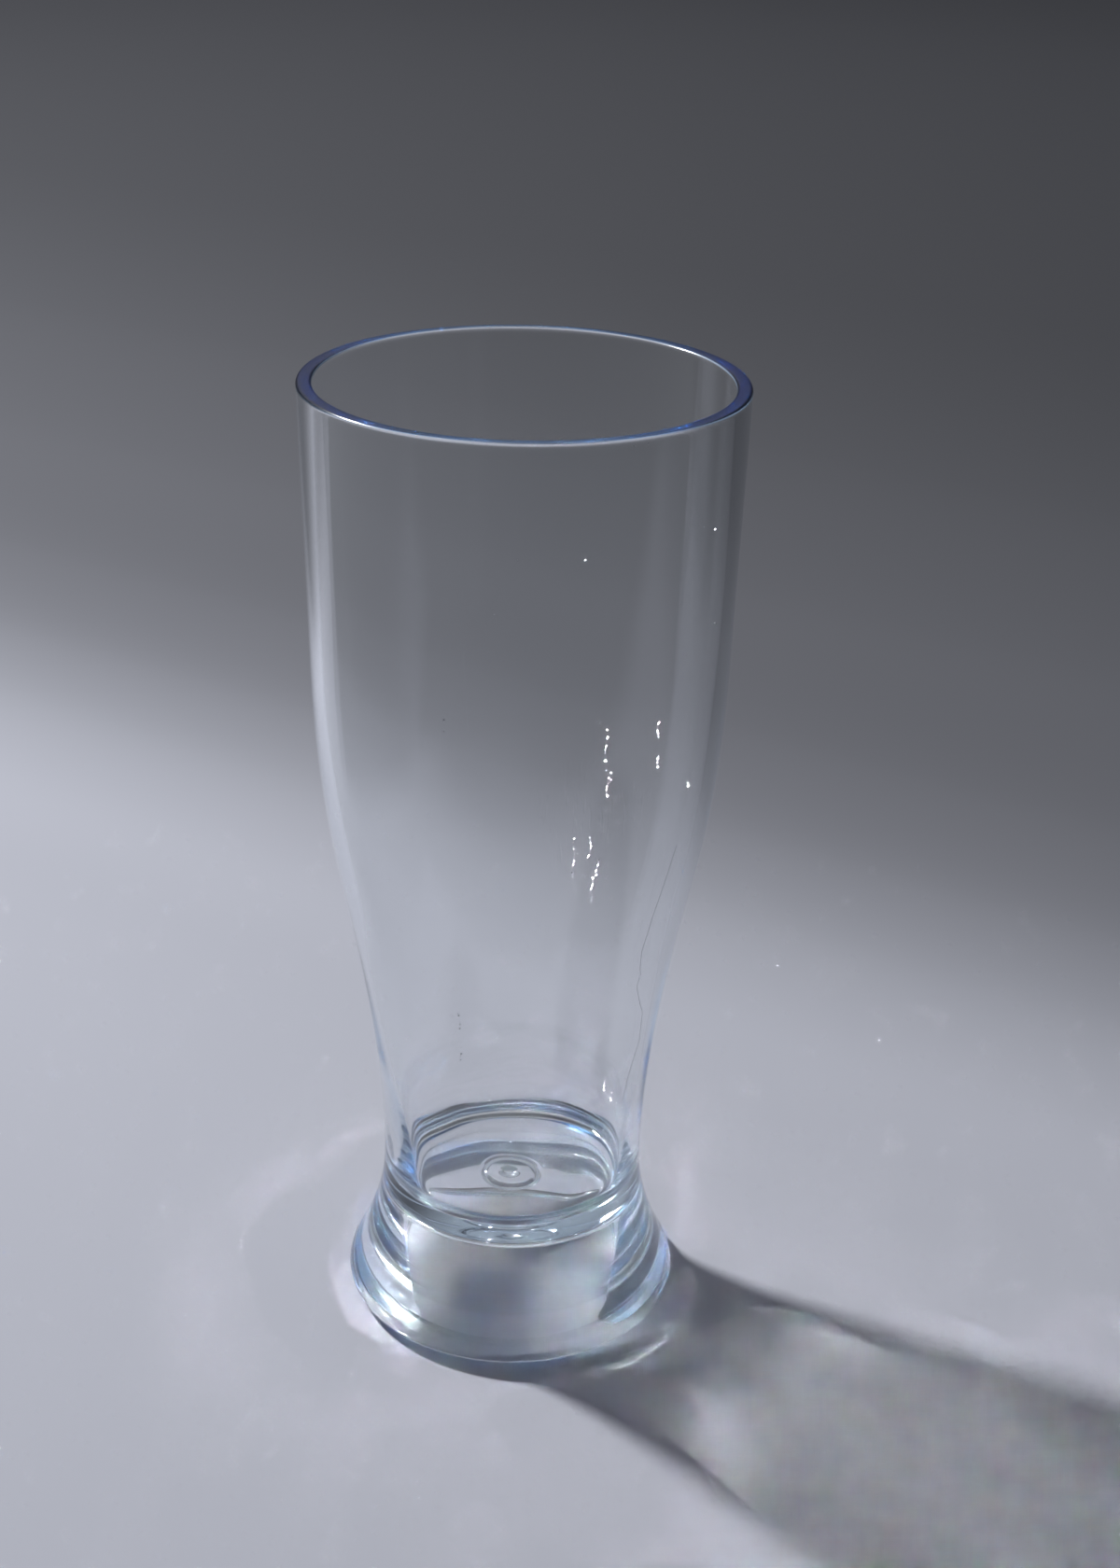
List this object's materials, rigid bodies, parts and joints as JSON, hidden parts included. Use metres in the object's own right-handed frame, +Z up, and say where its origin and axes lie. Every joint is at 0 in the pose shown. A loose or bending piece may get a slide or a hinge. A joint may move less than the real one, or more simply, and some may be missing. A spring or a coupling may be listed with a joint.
{
  "type": "wheat beer glass",
  "caption": "Tall clear wheat beer glass: a bowl that tapers to a narrow waist, on a flared foot that is hollow and open below, moulded in one piece.",
  "frame": {"origin": "on the table, at the centre of the ring that the foot stands on", "axes": "+Z up along the axis of the glass, towards the rim"},
  "size_m": [0.0848, 0.0848, 0.2],
  "materials": {
    "clear_plastic": "clear, polished, with a faint blue tint in the thick edges"
  },
  "bodies": {
    "root": {"glass_body": "clear_plastic"}
  },
  "joints": []
}
